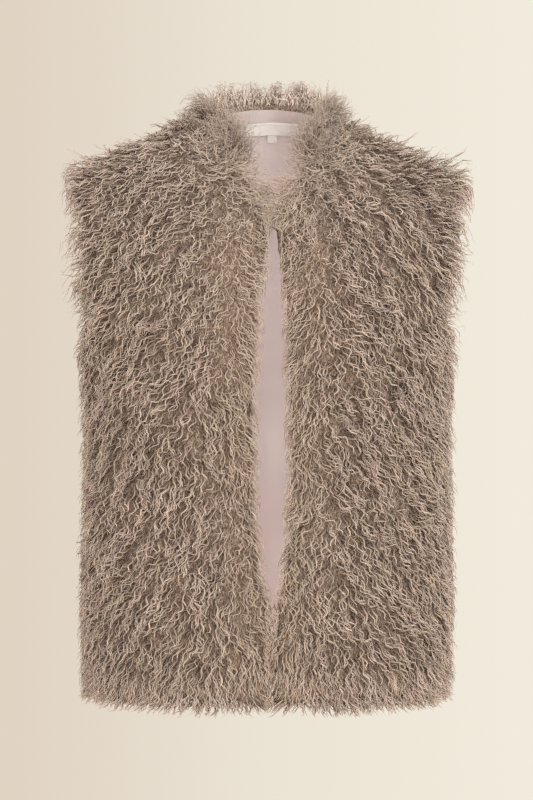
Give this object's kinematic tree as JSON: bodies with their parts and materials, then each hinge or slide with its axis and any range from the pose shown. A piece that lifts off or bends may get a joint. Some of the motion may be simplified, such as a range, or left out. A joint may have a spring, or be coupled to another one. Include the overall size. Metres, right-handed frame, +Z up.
{
  "type": "faux fur vest",
  "caption": "Sleeveless open-front faux fur vest with a narrow standing collar and a satin lining, filled out as if worn.",
  "frame": {"origin": "midway between the two side neck points, where the shoulder seams start, level with them", "axes": "+Z up along the wearer's height, -Y the way the wearer faces, +X the wearer's left"},
  "size_m": [0.438, 0.292, 0.6654],
  "materials": {
    "faux_fur_pile": "long curly taupe pile",
    "satin_lining": "smooth satin",
    "woven_label": "woven tape, blank"
  },
  "bodies": {
    "root": {"front_left": "faux_fur_pile", "front_right": "faux_fur_pile", "back": "faux_fur_pile", "collar": "faux_fur_pile", "lining_front_left": "satin_lining", "lining_front_right": "satin_lining", "lining_back": "satin_lining", "lining_collar": "satin_lining", "label_main": "woven_label", "label_size": "woven_label"}
  },
  "joints": []
}
